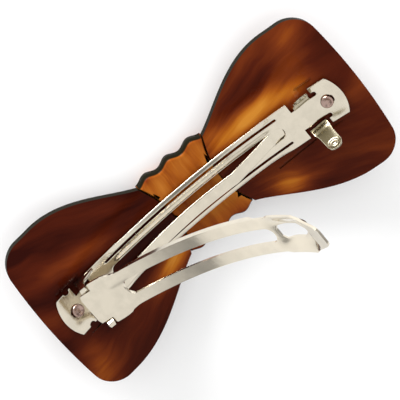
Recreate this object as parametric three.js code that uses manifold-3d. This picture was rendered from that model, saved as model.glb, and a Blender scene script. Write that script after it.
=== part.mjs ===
// A bow barrette with a French clip, lying on the front of its knot with the clasp open.
// Millimetres, +Z up out of the back of the bow, +X from the hinge end to the latch end.
// The origin is under the middle of the bow, on the surface that the knot rests on.
import * as THREE from 'three';
import { mergeVertices } from 'three/addons/utils/BufferGeometryUtils.js';
import Module from 'manifold-3d';

const wasm = await Module();
wasm.setup();

// ---- Clearances and the strip that the clip is stamped from ----
const GAP = 0.3;
const PLATE = 0.6;
const TRIM = 0.5;
const TALL = 60;
const ROUND_SIDES = 24;

// ---- The bow, in cellulose acetate ----
const BOW_HALF_LENGTH = 44.3;
const WING_HALF_WIDTH = 20.6;
const WING_THICKNESS = 2.3;
const WING_FLARE_START = 8.5;
const WING_FLARE_END = BOW_HALF_LENGTH - 10.3;
const WING_FLARE_POWER = 1.2;
const WING_CORNER = 5.5;
const TIP_BULGE = 1.4;
const NECK_HALF_WIDTH = 9.6;
const WING_BACK_AT_NECK = 6.2;
const WING_CURVE_RADIUS = 92;
const WING_DROOP_RADIUS = 140;
const TIP_FLATTENING = 0.028;
const TIP_FLATTENING_START = BOW_HALF_LENGTH - 11.3;

// ---- The knot between the wings ----
const KNOT_HALF_LENGTH = 9.4;
const KNOT_HALF_WIDTH = NECK_HALF_WIDTH + 0.9;
const KNOT_LOBE = 0.5;
const KNOT_LOBES = 3;
const KNOT_CORE_FOOT = 1;
const SEAM_HALF_LENGTH = KNOT_HALF_LENGTH - GAP;
const SEAM_BULGE = 2.4;
const PILLOW_CROWN = 1.1;
const PILLOW_FLAT = 0.15;
const PLEAT_DEPTH = 0.25;

// ---- The clip's base plate ----
const CLIP_SHIFT = -0.6;
const CLIP_HALF_LENGTH = BOW_HALF_LENGTH - 4.3;
const CLIP_HALF_WIDTH = 5;
const BASE_RADIUS = 95;
const BASE_UNDERSIDE = WING_BACK_AT_NECK + 0.8;
const RIVET_X = CLIP_HALF_LENGTH - 3.5;
const FRAME_END = CLIP_HALF_LENGTH - 10;
const LATCH_FRAME_END = FRAME_END - 1.6;
const D_START = CLIP_HALF_LENGTH - 5.6;
const D_CORNER = CLIP_HALF_LENGTH - 1.4;
const NECK_CLIP_HALF_WIDTH = CLIP_HALF_WIDTH - 2.4;
const JOGGLE = 0.9;
const JOGGLE_START = FRAME_END + 0.4;
const JOGGLE_END = D_START - 0.4;
const WINDOW_HALF_LENGTH = CLIP_HALF_LENGTH - 15.2;
const WINDOW_HALF_WIDTH = 1.45;
const RAIL_SLOT_INSIDE = CLIP_HALF_WIDTH - 1.95;
const RAIL_SLOT_WIDTH = 0.65;
const RELIEF_SLOT_START = D_START - 2;
const RELIEF_SLOT_END = D_START + 1;
const RELIEF_SLOT_WIDTH = 1.1;
const SIDE_NOTCH_X = D_START + 1.2;
const SIDE_NOTCH_RADIUS = 0.75;
const SEAT_START = JOGGLE_START - 1.4;
const SEAT_MARGIN = 1.4;

// ---- The hinge ears ----
const HINGE_X = -(CLIP_HALF_LENGTH - 8.1);
const HINGE_HEIGHT = 6.6;
const EAR_Y = CLIP_HALF_WIDTH - 0.65;
const EAR_HALF_LENGTH = 0.8;
const EAR_HEEL_LENGTH = 1.28;
const EAR_FOOT_LENGTH = 4.2;
const EAR_WAIST = HINGE_HEIGHT / 2;
const EAR_NOTCH_HALF_LENGTH = 1.44;
const EAR_LUG_REACH = 1.35;
const EAR_LUG_OVERLAP = 0.1;

// ---- The clasp arm, by distance along it from the hinge ----
const ARM_RADIUS = 75;
const ARM_OPEN_DEG = 46;
const ARM_LENGTH = 2 * CLIP_HALF_LENGTH - 7;
const ARM_HEEL = 1.8;
const ARM_HEEL_HALF_WIDTH = 3.2;
const ARM_ROOT_HALF_WIDTH = CLIP_HALF_WIDTH + 0.7;
const ARM_ROOT_END = 3.6;
const ARM_HALF_WIDTH = CLIP_HALF_WIDTH - 0.35;
const ARM_SHOULDER_START = 6;
const ARM_SHOULDER_MIDDLE = 7.6;
const ARM_SHOULDER_END = 9.5;
const ARM_SHOULDER_ROUND = 0.3;
const ARM_WINDOW_HALF_WIDTH = ARM_HALF_WIDTH - 2.7;
const ARM_WINDOW_START = 8;
const ARM_FLANGE = 1.3;
const FLANGE_START = ARM_SHOULDER_END + 0.5;
const HEAD_START = ARM_LENGTH - 18;
const HEAD_END = ARM_LENGTH - 6;
const HEAD_HALF_WIDTH = ARM_HALF_WIDTH + 0.1;
const HEAD_CORNER = 2;
const HEAD_SHOULDER_HALF_WIDTH = HEAD_HALF_WIDTH - 0.9;
const HEAD_DIP = 2;
const HEAD_DIP_START = HEAD_START - 2;
const HEAD_DIP_START_LENGTH = 3;
const HEAD_DIP_END_LENGTH = 2;
const ARM_WINDOW_END = HEAD_START - 1;
const FLANGE_END = HEAD_START - 2;
const NOSE_HALF_WIDTH = 2.1;
const NOSE_TIP_HALF_WIDTH = 1.5;
const NOSE_ROUND = 0.6;
const OPENING_START = ARM_WINDOW_END + 1.3;
const OPENING_START_HALF_WIDTH = 1;
const OPENING_CORNER = OPENING_START + 0.8;
const OPENING_SHOULDER = ARM_LENGTH - 10.2;
const OPENING_TIP = ARM_LENGTH - 7.4;
const OPENING_HALF_WIDTH = 1.9;

// ---- The catch prongs ----
const PRONG_X = CLIP_HALF_LENGTH - 8.7;
const PRONG_ROOT_WIDTH = 4.4;
const PRONG_WIDTH = 3.7;
const PRONG_WALL_Y = NECK_CLIP_HALF_WIDTH + 2 * GAP;
const PRONG_WALL_HEIGHT = 3.3;
const PRONG_FLARE = 3.7;
const PRONG_TOP_HEIGHT = 9;
const PRONG_TAPER_HEIGHT = 1.6;
const PRONG_THICKNESS = 0.5;
const PRONG_LEAN = 0.2;

// ---- The leaf spring ----
const SPRING_WIDTH = 2 * WINDOW_HALF_WIDTH - 0.15;
const SPRING_THICKNESS = 0.4;
const SPRING_ROOT_X = CLIP_HALF_LENGTH - 14.4;
const SPRING_ROOT_END = SPRING_ROOT_X - 2.1;
const SPRING_BOW_END = SPRING_ROOT_X - 12.6;
const SPRING_BOW_LOW = BASE_UNDERSIDE + 5.4;
const SPRING_FREE_RISE = 8.2;
const SPRING_FREE_X = -(CLIP_HALF_LENGTH - 14);

// ---- The rivets ----
const RIVET_HEAD_RADIUS = 1.5;
const RIVET_HEAD_HEIGHT = 0.5;
const RIVET_RIM_RADIUS = 1.28;
const RIVET_DISH_RADIUS = 0.75;
const RIVET_DISH_DEPTH = 0.2;
const RIVET_SHANK_RADIUS = 0.95;
const RIVET_DEPTH = 1.2;

// ---- How finely the bent sheets are divided ----
const WING_GRID = [26, 22];
const SEAT_GRID = [12, 1];
const CORE_GRID = [18, 10];
const PILLOW_GRID = [18, 12];
const BASE_GRID = [80, 1];
const ARM_GRID = [56, 14];
const FLANGE_GRID = [30, 1];
const SPRING_GRID = [44, 1];

const ACETATE = { color: 0x6b3a22, roughness: 0.15, metalness: 0 };
const KNOT_ACETATE = { color: 0xa8682c, roughness: 0.15, metalness: 0 };
const NICKEL = { color: 0xcfc6b4, roughness: 0.18, metalness: 1 };
const RIVET_STEEL = { color: 0x9d9388, roughness: 0.3, metalness: 1 };

// Turns a three.js geometry into a solid that can be cut and joined.
function solid(geometry) {
  const bare = geometry.index ? geometry.clone() : geometry;
  bare.deleteAttribute('normal');
  bare.deleteAttribute('uv');
  const merged = mergeVertices(bare, 1e-5);
  return new wasm.Manifold(new wasm.Mesh({
    numProp: 3,
    vertProperties: new Float32Array(merged.attributes.position.array),
    triVerts: new Uint32Array(merged.index.array),
  }));
}

function joined(solids) {
  return solids.reduce((whole, next) => whole.add(next));
}

function cut(whole, tools) {
  return tools.reduce((left, tool) => left.subtract(tool), whole);
}

function named(name, body, finish) {
  const { vertProperties, triVerts } = body.getMesh();
  const geometry = new THREE.BufferGeometry();
  geometry.setAttribute('position', new THREE.BufferAttribute(new Float32Array(vertProperties), 3));
  geometry.setIndex(new THREE.BufferAttribute(new Uint32Array(triVerts), 1));
  geometry.computeVertexNormals();
  const mesh = new THREE.Mesh(geometry, new THREE.MeshStandardMaterial(finish));
  mesh.name = name;
  return mesh;
}

function smooth(t) {
  const u = THREE.MathUtils.clamp(t, 0, 1);
  return u * u * (3 - 2 * u);
}

// A unit box whose points are moved to place(s, t, w), with each of s, t and w from 0 to 1.
function bentBox([alongCount, acrossCount], place) {
  const geometry = new THREE.BoxGeometry(1, 1, 1, alongCount, acrossCount, 1);
  const position = geometry.attributes.position;
  for (let i = 0; i < position.count; i += 1) {
    const point = place(position.getX(i) + 0.5, position.getY(i) + 0.5, position.getZ(i) + 0.5);
    position.setXYZ(i, point[0], point[1], point[2]);
  }
  return solid(geometry);
}

// A prism that stands along Z through the whole part, on a plan outline with holes.
function prism(shape) {
  const geometry = new THREE.ExtrudeGeometry(shape, { depth: TALL, bevelEnabled: false, curveSegments: 6 });
  geometry.translate(0, 0, -TALL / 4);
  return solid(geometry);
}

function outline(points) {
  return new THREE.Shape(points.map(([x, y]) => new THREE.Vector2(x, y)));
}

function block(x0, x1, y0, y1, z0, z1) {
  const geometry = new THREE.BoxGeometry(x1 - x0, y1 - y0, z1 - z0);
  geometry.translate((x0 + x1) / 2, (y0 + y1) / 2, (z0 + z1) / 2);
  return solid(geometry);
}

// A slot along X with round ends.
function slotShape(x0, x1, yMiddle, width) {
  const r = width / 2;
  const shape = new THREE.Shape();
  shape.absarc(x1 - r, yMiddle, r, -Math.PI / 2, Math.PI / 2, false);
  shape.absarc(x0 + r, yMiddle, r, Math.PI / 2, Math.PI * 1.5, false);
  return shape;
}

// Underside of the clip's base plate, which steps down onto its two end plates.
function baseUnderside(x) {
  const reach = Math.abs(x);
  const arc = BASE_UNDERSIDE + BASE_RADIUS - Math.sqrt(BASE_RADIUS ** 2 - x * x);
  return arc - JOGGLE * smooth((reach - JOGGLE_START) / (JOGGLE_END - JOGGLE_START));
}

function baseTop(x) {
  return baseUnderside(x) + PLATE;
}

// Back face of a wing.
function wingBack(x, y) {
  const rise = WING_CURVE_RADIUS - Math.sqrt(WING_CURVE_RADIUS ** 2 - x * x);
  const flat = TIP_FLATTENING * Math.max(0, x - TIP_FLATTENING_START) ** 2;
  return WING_BACK_AT_NECK + rise - flat - (y * y) / (2 * WING_DROOP_RADIUS);
}

function wingHalfWidth(x) {
  const t = THREE.MathUtils.clamp((x - WING_FLARE_START) / (WING_FLARE_END - WING_FLARE_START), 0, 1);
  const flare = Math.sin((t * Math.PI) / 2) ** WING_FLARE_POWER;
  return NECK_HALF_WIDTH + (WING_HALF_WIDTH - NECK_HALF_WIDTH) * flare;
}

// One wing on the +X side; the other is the same shape turned half round.
function wing(side) {
  const shift = side * CLIP_SHIFT;
  const place = (s, t, w) => {
    const across = Math.sin((t - 0.5) * Math.PI);
    const inner = SEAM_HALF_LENGTH + GAP - SEAM_BULGE * (1 - across * across);
    const outer = BOW_HALF_LENGTH - TIP_BULGE * across * across - tipRounding(across);
    const x = inner + (outer - inner) * s;
    const y = across * wingHalfWidth(x);
    return [x, y, wingBack(x, y) - WING_THICKNESS * (1 - w)];
  };
  const sheet = bentBox(WING_GRID, place);
  const seat = seatSpace(shift);
  const radius = RIVET_SHANK_RADIUS + GAP;
  const hole = turnedCylinder(radius, RIVET_X + shift, seatFloor(RIVET_X), RIVET_DEPTH + GAP);
  return cut(sheet, [seat, hole]);
}

// How far a wing's tip draws back near its two corners.
function tipRounding(across) {
  const edge = Math.max(0, Math.abs(across) - (1 - WING_CORNER / WING_HALF_WIDTH)) * WING_HALF_WIDTH;
  return WING_CORNER - Math.sqrt(Math.max(0, WING_CORNER ** 2 - edge * edge));
}

function seatFloor(x) {
  return baseUnderside(x) - GAP;
}

// The shallow milled flat under one of the clip's end plates, open upward.
function seatSpace(shift) {
  const start = SEAT_START;
  const end = CLIP_HALF_LENGTH + SEAT_MARGIN;
  const halfWidth = CLIP_HALF_WIDTH + SEAT_MARGIN;
  return bentBox(SEAT_GRID, (s, t, w) => {
    const x = start + (end - start) * s;
    return [x + shift, (2 * t - 1) * halfWidth, seatFloor(x) + w * TALL / 10];
  });
}

// A cylinder square to the end plate at x, as far below its centre as above.
function turnedCylinder(radius, x, z, halfLength) {
  const geometry = new THREE.CylinderGeometry(radius, radius, 2 * halfLength, ROUND_SIDES);
  geometry.rotateX(Math.PI / 2);
  geometry.rotateY(-Math.sign(x) * endPlateSlope());
  geometry.translate(x, 0, z);
  return solid(geometry);
}

function endPlateSlope() {
  return Math.asin(RIVET_X / BASE_RADIUS);
}

// The knot's pleats as a wave along X, 1 on a ridge and -1 in a furrow.
function pleatWave(x) {
  return Math.cos((KNOT_LOBES * Math.PI * x) / KNOT_HALF_LENGTH);
}

function knotHalfWidth(x) {
  return KNOT_HALF_WIDTH + KNOT_LOBE * pleatWave(x);
}

// The knot is a core between the wings' inner ends and a wider pleated front.
function knot() {
  const backFace = (x) => WING_BACK_AT_NECK + (x * x) / (2 * WING_CURVE_RADIUS);
  const frontTop = WING_BACK_AT_NECK - WING_THICKNESS - GAP;
  const core = bentBox(CORE_GRID, (s, t, w) => {
    const across = 2 * t - 1;
    const reach = SEAM_HALF_LENGTH - SEAM_BULGE * (1 - across * across);
    const x = (2 * s - 1) * reach;
    const y = across * knotHalfWidth(x);
    const droop = (y * y) / (2 * WING_DROOP_RADIUS);
    const top = backFace(x) - droop - PLEAT_DEPTH * (1 - pleatWave(x));
    return [x, y, w > 0 ? top : KNOT_CORE_FOOT];
  });
  const droopAtNeck = NECK_HALF_WIDTH ** 2 / (2 * WING_DROOP_RADIUS);
  const front = bentBox(PILLOW_GRID, (s, t, w) => {
    const across = 2 * t - 1;
    const along = 2 * s - 1;
    const x = along * KNOT_HALF_LENGTH;
    const y = across * (knotHalfWidth(x) + GAP);
    const crown = PILLOW_CROWN * (along ** 4 + across ** 4) - PILLOW_FLAT;
    return [x, y, w > 0 ? frontTop - droopAtNeck : Math.max(crown, 0)];
  });
  return core.add(front);
}

// Plan outline of the base plate, with its windows, slots and notches.
function basePlan() {
  const shape = new THREE.Shape();
  const side = CLIP_HALF_WIDTH;
  const neck = NECK_CLIP_HALF_WIDTH;
  shape.moveTo(-FRAME_END, -side);
  shape.lineTo(LATCH_FRAME_END, -side);
  shape.lineTo(LATCH_FRAME_END, -neck);
  shape.lineTo(D_START, -neck);
  shape.lineTo(D_START, -side);
  shape.lineTo(D_CORNER, -side);
  shape.quadraticCurveTo(2 * CLIP_HALF_LENGTH - D_CORNER, 0, D_CORNER, side);
  shape.lineTo(D_START, side);
  shape.lineTo(D_START, neck);
  shape.lineTo(LATCH_FRAME_END, neck);
  shape.lineTo(LATCH_FRAME_END, side);
  shape.lineTo(-FRAME_END, side);
  shape.lineTo(-FRAME_END, neck);
  shape.lineTo(-D_START, neck);
  shape.lineTo(-D_START, side);
  shape.lineTo(-D_CORNER, side);
  shape.quadraticCurveTo(D_CORNER - 2 * CLIP_HALF_LENGTH, 0, -D_CORNER, -side);
  shape.lineTo(-D_START, -side);
  shape.lineTo(-D_START, -neck);
  shape.lineTo(-FRAME_END, -neck);
  shape.closePath();
  return shape;
}

function baseCuts() {
  const slotMiddle = RAIL_SLOT_INSIDE + RAIL_SLOT_WIDTH / 2;
  const reliefMiddle = NECK_CLIP_HALF_WIDTH + RELIEF_SLOT_WIDTH / 2;
  const length = WINDOW_HALF_LENGTH;
  const shapes = [slotShape(-length, length, 0, 2 * WINDOW_HALF_WIDTH)];
  for (const side of [-1, 1]) {
    shapes.push(slotShape(-length, length, side * slotMiddle, RAIL_SLOT_WIDTH));
    shapes.push(slotShape(RELIEF_SLOT_START, RELIEF_SLOT_END, side * reliefMiddle, RELIEF_SLOT_WIDTH));
    const notch = new THREE.Shape();
    notch.absarc(-SIDE_NOTCH_X, side * CLIP_HALF_WIDTH, SIDE_NOTCH_RADIUS, 0, 2 * Math.PI, false);
    shapes.push(notch);
  }
  const holes = shapes.map((shape) => prism(shape));
  for (const side of [-1, 1]) {
    holes.push(turnedCylinder(RIVET_SHANK_RADIUS + GAP, side * RIVET_X, baseUnderside(RIVET_X), 2 * PLATE));
  }
  return holes;
}

function hingeAxisHeight() {
  return BASE_UNDERSIDE + PLATE + BASE_RADIUS - Math.sqrt(BASE_RADIUS ** 2 - HINGE_X ** 2) + HINGE_HEIGHT;
}

// An upright ear of the base, with a small lug folded outward over its top.
function hingeEar(side) {
  const top = hingeAxisHeight() + PLATE / 2 + GAP;
  const foot = baseUnderside(FRAME_END);
  const profile = outline([
    [HINGE_X - EAR_HEEL_LENGTH, foot + PLATE],
    [HINGE_X + EAR_FOOT_LENGTH, foot],
    [HINGE_X + EAR_FOOT_LENGTH, foot + PLATE * 2],
    [HINGE_X + EAR_HALF_LENGTH, top - EAR_WAIST],
    [HINGE_X + EAR_HALF_LENGTH, top],
    [HINGE_X - EAR_HALF_LENGTH, top],
    [HINGE_X - EAR_HALF_LENGTH, top - EAR_WAIST],
  ]);
  const wall = new THREE.ExtrudeGeometry(profile, { depth: PLATE, bevelEnabled: false });
  wall.rotateX(Math.PI / 2);
  wall.translate(0, side > 0 ? EAR_Y + PLATE : -EAR_Y, 0);
  const inner = side > 0 ? EAR_Y : -EAR_Y - EAR_LUG_REACH;
  const lug = block(
    HINGE_X - EAR_HALF_LENGTH, HINGE_X + EAR_HALF_LENGTH,
    inner, inner + EAR_LUG_REACH,
    top - EAR_LUG_OVERLAP, top + PLATE - EAR_LUG_OVERLAP,
  );
  return solid(wall).add(lug);
}

function basePlate() {
  const sheet = bentBox(BASE_GRID, (s, t, w) => {
    const x = (2 * s - 1) * (CLIP_HALF_LENGTH + TRIM);
    return [x, (2 * t - 1) * (CLIP_HALF_WIDTH + TRIM), baseUnderside(x) + w * PLATE];
  });
  const plate = cut(sheet.intersect(prism(basePlan())), baseCuts());
  return joined([plate, hingeEar(-1), hingeEar(1)]);
}

// A rivet head with a shallow dish, on a shank that ends in the wing.
function rivet() {
  const underHead = PLATE + GAP * 2;
  const profile = [
    [0, -RIVET_DEPTH],
    [RIVET_SHANK_RADIUS, -RIVET_DEPTH],
    [RIVET_SHANK_RADIUS, underHead],
    [RIVET_HEAD_RADIUS, underHead],
    [RIVET_RIM_RADIUS, underHead + RIVET_HEAD_HEIGHT],
    [RIVET_DISH_RADIUS, underHead + RIVET_HEAD_HEIGHT],
    [0, underHead + RIVET_HEAD_HEIGHT - RIVET_DISH_DEPTH],
  ];
  const geometry = new THREE.LatheGeometry(profile.map(([x, y]) => new THREE.Vector2(x, y)), ROUND_SIDES);
  geometry.rotateX(Math.PI / 2);
  return solid(geometry);
}

// The arm's middle surface, closed: a point s along it from the hinge, measured from the hinge.
function armPoint(s, offset) {
  const start = Math.asin(HINGE_X / ARM_RADIUS);
  const angle = start + s / ARM_RADIUS;
  const r = ARM_RADIUS - offset;
  return [r * Math.sin(angle) - HINGE_X, ARM_RADIUS * Math.cos(start) - r * Math.cos(angle)];
}

// How deep the head's middle lies below the arm, s along and y across.
function headDip(s, y) {
  const fall = smooth((s - HEAD_DIP_START) / HEAD_DIP_START_LENGTH);
  const rise = smooth((s - HEAD_END) / HEAD_DIP_END_LENGTH + 0.5);
  const across = 1 - smooth((Math.abs(y) - OPENING_HALF_WIDTH) / (HEAD_HALF_WIDTH - OPENING_HALF_WIDTH));
  return HEAD_DIP * fall * (1 - rise) * across;
}

function armPlan() {
  const half = [
    [-ARM_HEEL, ARM_HEEL_HALF_WIDTH],
    [-EAR_NOTCH_HALF_LENGTH, EAR_Y - GAP],
    [EAR_NOTCH_HALF_LENGTH, EAR_Y - GAP],
    [EAR_NOTCH_HALF_LENGTH, ARM_ROOT_HALF_WIDTH],
    [ARM_ROOT_END, ARM_ROOT_HALF_WIDTH],
    [ARM_SHOULDER_START, ARM_ROOT_HALF_WIDTH - ARM_SHOULDER_ROUND],
    [ARM_SHOULDER_MIDDLE, ARM_HALF_WIDTH + ARM_SHOULDER_ROUND],
    [ARM_SHOULDER_END, ARM_HALF_WIDTH],
    [HEAD_START, ARM_HALF_WIDTH],
    [HEAD_START + HEAD_CORNER, HEAD_HALF_WIDTH],
    [HEAD_END - HEAD_CORNER, HEAD_HALF_WIDTH],
    [HEAD_END, HEAD_SHOULDER_HALF_WIDTH],
    [ARM_LENGTH - NOSE_ROUND, NOSE_HALF_WIDTH],
    [ARM_LENGTH, NOSE_TIP_HALF_WIDTH],
  ];
  const right = half.map(([s, y]) => [armPoint(s, 0)[0], -y]);
  const left = half.map(([s, y]) => [armPoint(s, 0)[0], y]).reverse();
  return outline(right.concat(left));
}

function armWindow() {
  const x0 = armPoint(ARM_WINDOW_START, 0)[0];
  const x1 = armPoint(ARM_WINDOW_END, 0)[0];
  return prism(slotShape(x0, x1, 0, 2 * ARM_WINDOW_HALF_WIDTH));
}

// The head's opening: blunt towards the hinge, straight along its sides and pointed towards the nose.
function headOpening() {
  const half = [
    [OPENING_START, OPENING_START_HALF_WIDTH],
    [OPENING_CORNER, OPENING_HALF_WIDTH],
    [OPENING_SHOULDER, OPENING_HALF_WIDTH],
  ];
  const right = half.map(([s, y]) => [armPoint(s, 0)[0], -y]);
  const left = half.map(([s, y]) => [armPoint(s, 0)[0], y]).reverse();
  return prism(outline([...right, [armPoint(OPENING_TIP, 0)[0], 0], ...left]));
}

// A turned-down flange along one outer edge of the arm's rails.
function armFlange(side) {
  const inner = ARM_HALF_WIDTH - PLATE;
  return bentBox(FLANGE_GRID, (s, t, w) => {
    const along = FLANGE_START + (FLANGE_END - FLANGE_START) * s;
    const [x, z] = armPoint(along, PLATE / 2 - (1 - w) * ARM_FLANGE);
    const y = side > 0 ? inner + t * PLATE : -ARM_HALF_WIDTH + t * PLATE;
    return [x, y, z];
  });
}

function claspArm() {
  const sheet = bentBox(ARM_GRID, (s, t, w) => {
    const along = -ARM_HEEL - TRIM + (ARM_LENGTH + ARM_HEEL + 2 * TRIM) * s;
    const y = (2 * t - 1) * (ARM_ROOT_HALF_WIDTH + TRIM);
    const [x, z] = armPoint(along, (w - 0.5) * PLATE - headDip(along, y));
    return [x, y, z];
  });
  const plate = sheet.intersect(prism(armPlan()));
  const whole = joined([plate, armFlange(-1), armFlange(1)]);
  return cut(whole, [armWindow(), headOpening()]);
}

// The leaf spring rises from its root beside the catch and runs along under the arm.
function springLine(x) {
  const freeHeight = baseTop(SPRING_FREE_X) + SPRING_FREE_RISE;
  const bow = SPRING_BOW_LOW + (freeHeight - SPRING_BOW_LOW) * (x / SPRING_FREE_X) ** 2;
  const fall = smooth((x - SPRING_BOW_END) / (SPRING_ROOT_END - SPRING_BOW_END));
  return bow + (baseTop(x) + GAP - bow) * fall;
}

function tensionSpring() {
  return bentBox(SPRING_GRID, (s, t, w) => {
    const x = SPRING_FREE_X + (SPRING_ROOT_X - SPRING_FREE_X) * s;
    return [x, (t - 0.5) * SPRING_WIDTH, springLine(x) + w * SPRING_THICKNESS];
  });
}

// One prong of the catch: an upright wall that flares into a round finger tab. Its root is the origin.
function prong(side) {
  const t = PRONG_THICKNESS;
  const section = outline([
    [0, 0],
    [t, 0],
    [t, PRONG_WALL_HEIGHT - PRONG_LEAN],
    [PRONG_FLARE + t, PRONG_TOP_HEIGHT - PRONG_LEAN],
    [PRONG_FLARE, PRONG_TOP_HEIGHT],
    [0, PRONG_WALL_HEIGHT],
  ]);
  const wall = new THREE.ExtrudeGeometry(section, { depth: PRONG_ROOT_WIDTH, bevelEnabled: false });
  wall.rotateY(Math.PI / 2);
  wall.rotateX(Math.PI / 2);
  wall.translate(-PRONG_ROOT_WIDTH / 2, 0, 0);
  const body = solid(wall).intersect(roundTop());
  return side > 0 ? body : body.rotate([0, 0, 180]);
}

// The front outline of a prong, wide at its root and round at its top, as a prism along Y.
function roundTop() {
  const r = PRONG_WIDTH / 2;
  const face = new THREE.Shape();
  const root = PRONG_ROOT_WIDTH / 2;
  face.moveTo(-root, -r);
  face.lineTo(root, -r);
  face.lineTo(root, PRONG_WALL_HEIGHT);
  face.lineTo(r, PRONG_WALL_HEIGHT + PRONG_TAPER_HEIGHT);
  face.absarc(0, PRONG_TOP_HEIGHT - r, r, 0, Math.PI, false);
  face.lineTo(-r, PRONG_WALL_HEIGHT + PRONG_TAPER_HEIGHT);
  face.lineTo(-root, PRONG_WALL_HEIGHT);
  const mask = new THREE.ExtrudeGeometry(face, { depth: TALL, bevelEnabled: false });
  mask.rotateX(Math.PI / 2);
  mask.translate(0, TALL / 2, 0);
  return solid(mask);
}

const clip = new THREE.Group();
clip.position.x = CLIP_SHIFT;

const armMesh = named('clasp_arm', claspArm(), NICKEL);
armMesh.position.set(HINGE_X, 0, hingeAxisHeight());
armMesh.rotation.y = -THREE.MathUtils.degToRad(ARM_OPEN_DEG);

const prongZ = baseTop(PRONG_X) - PLATE;
const prongMeshes = [['catch_prong_left', 1], ['catch_prong_right', -1]].map(([name, side]) => {
  const mesh = named(name, prong(side), NICKEL);
  mesh.position.set(PRONG_X, side * PRONG_WALL_Y, prongZ);
  return mesh;
});

const rivetMeshes = [['hinge_end_rivet', -1], ['latch_end_rivet', 1]].map(([name, side]) => {
  const mesh = named(name, rivet(), RIVET_STEEL);
  mesh.rotation.y = -side * endPlateSlope();
  mesh.position.set(side * RIVET_X, 0, seatFloor(RIVET_X));
  return mesh;
});

clip.add(
  named('base_plate', basePlate(), NICKEL),
  named('tension_spring', tensionSpring(), NICKEL),
  armMesh,
  ...prongMeshes,
  ...rivetMeshes,
);

const rightWing = named('latch_end_wing', wing(1), ACETATE);
const leftWing = named('hinge_end_wing', wing(-1), ACETATE);
leftWing.rotation.z = Math.PI;

const barrette = new THREE.Group();
barrette.add(rightWing, leftWing, named('centre_knot', knot(), KNOT_ACETATE), clip);

export default barrette;
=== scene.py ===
# %% [markdown]
# # A bow barrette with a French clip
#
# The object is a hair barrette that lies on its front, with the clasp arm standing open. The bow is
# three pieces of tortoiseshell acetate, and the clip is stamped from nickel-plated steel.
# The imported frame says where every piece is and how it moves. This file gives each piece its looks.

# %% Load the frame
import math
import bmesh
import bpy
from mathutils import Matrix, Vector


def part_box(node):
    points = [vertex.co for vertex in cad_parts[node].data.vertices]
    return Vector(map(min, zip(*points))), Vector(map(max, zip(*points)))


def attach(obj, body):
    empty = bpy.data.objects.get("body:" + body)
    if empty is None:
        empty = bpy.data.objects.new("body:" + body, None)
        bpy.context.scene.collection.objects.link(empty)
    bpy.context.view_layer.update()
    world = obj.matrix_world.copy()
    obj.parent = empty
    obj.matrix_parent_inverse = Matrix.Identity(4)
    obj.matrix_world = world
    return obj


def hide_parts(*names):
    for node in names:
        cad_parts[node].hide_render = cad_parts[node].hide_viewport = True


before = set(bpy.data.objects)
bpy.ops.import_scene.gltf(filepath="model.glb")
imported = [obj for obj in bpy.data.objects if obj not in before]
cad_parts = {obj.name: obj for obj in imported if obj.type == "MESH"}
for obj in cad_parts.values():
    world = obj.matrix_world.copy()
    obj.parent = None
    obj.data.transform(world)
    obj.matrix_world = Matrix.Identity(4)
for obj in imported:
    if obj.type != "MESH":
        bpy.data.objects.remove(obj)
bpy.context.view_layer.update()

MM = 0.001

# %% [markdown]
# ## Sizes
#
# All lengths below are in millimetres. The clip sits slightly off the bow's centre, so a clip's own
# x is measured from its middle. The frame's boxes give the places, and a few named sizes give the
# shapes that a box can't say.

# %% Sizes of the bow and the clip
def box_mm(node):
    low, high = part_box(node)
    return Vector(low) / MM, Vector(high) / MM


base_low, base_high = box_mm("base_plate")
_, wing_high = box_mm("latch_end_wing")
CLIP_SHIFT = (base_low.x + base_high.x) / 2
CLIP_HALF = (base_high.x - base_low.x) / 2
BOW_HALF = wing_high.x
WING_HALF_WIDTH = wing_high.y
NECK_HALF_WIDTH = 9.6
NECK_BACK = 6.2
WING_THICKNESS = 2.3
PLATE = 0.6
BASE_RADIUS = 95
BASE_UNDERSIDE = 7
RIVET_X = 36.5
GAP = 0.3
print("clip is", round(CLIP_HALF * 2, 1), "long, shifted", round(CLIP_SHIFT, 2))


def smooth(t):
    t = min(max(t, 0), 1)
    return t * t * (3 - 2 * t)


def mix(a, b, t):
    return a + (b - a) * t


# %% [markdown]
# ## Sheets, cutters and soft edges
#
# Nearly every piece is a thin sheet that follows a curved surface. A sheet is a grid of points,
# moved to its place by a function, with a top, an underside and four walls. A stamped outline is
# cut out of it by a boolean with a prism, which is how a die cuts the real strip. A bevel then
# rounds the cut edges, because light catches on a real edge.

# %% Mesh helpers
def new_object(name, mesh):
    piece = bpy.data.objects.new(name, mesh)
    bpy.context.scene.collection.objects.link(piece)
    return piece


def finished(name, bm):
    """Turns a closed shell's faces outward and makes it an object."""
    bmesh.ops.recalc_face_normals(bm, faces=bm.faces)
    mesh = bpy.data.meshes.new(name)
    bm.to_mesh(mesh)
    bm.free()
    return new_object(name, mesh)


def sheet(name, along, across, place):
    """A closed slab: place(s, t, w) gives a point in mm for s, t and w from 0 to 1."""
    bm = bmesh.new()
    layers = []
    for w in (0, 1):
        rows = []
        for i in range(along + 1):
            points = [place(i / along, j / across, w) for j in range(across + 1)]
            rows.append([bm.verts.new(Vector(point) * MM) for point in points])
        layers.append(rows)
    low, high = layers
    for i in range(along):
        for j in range(across):
            bm.faces.new((low[i][j], low[i][j + 1], low[i + 1][j + 1], low[i + 1][j]))
            bm.faces.new((high[i][j], high[i + 1][j], high[i + 1][j + 1], high[i][j + 1]))
    for i in range(along):
        bm.faces.new((low[i][0], low[i + 1][0], high[i + 1][0], high[i][0]))
        bm.faces.new((low[i + 1][across], low[i][across], high[i][across], high[i + 1][across]))
    for j in range(across):
        bm.faces.new((low[0][j + 1], low[0][j], high[0][j], high[0][j + 1]))
        bm.faces.new((low[along][j], low[along][j + 1], high[along][j + 1], high[along][j]))
    return finished(name, bm)


CUT_FROM = -20
CUT_TO = 80


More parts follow.
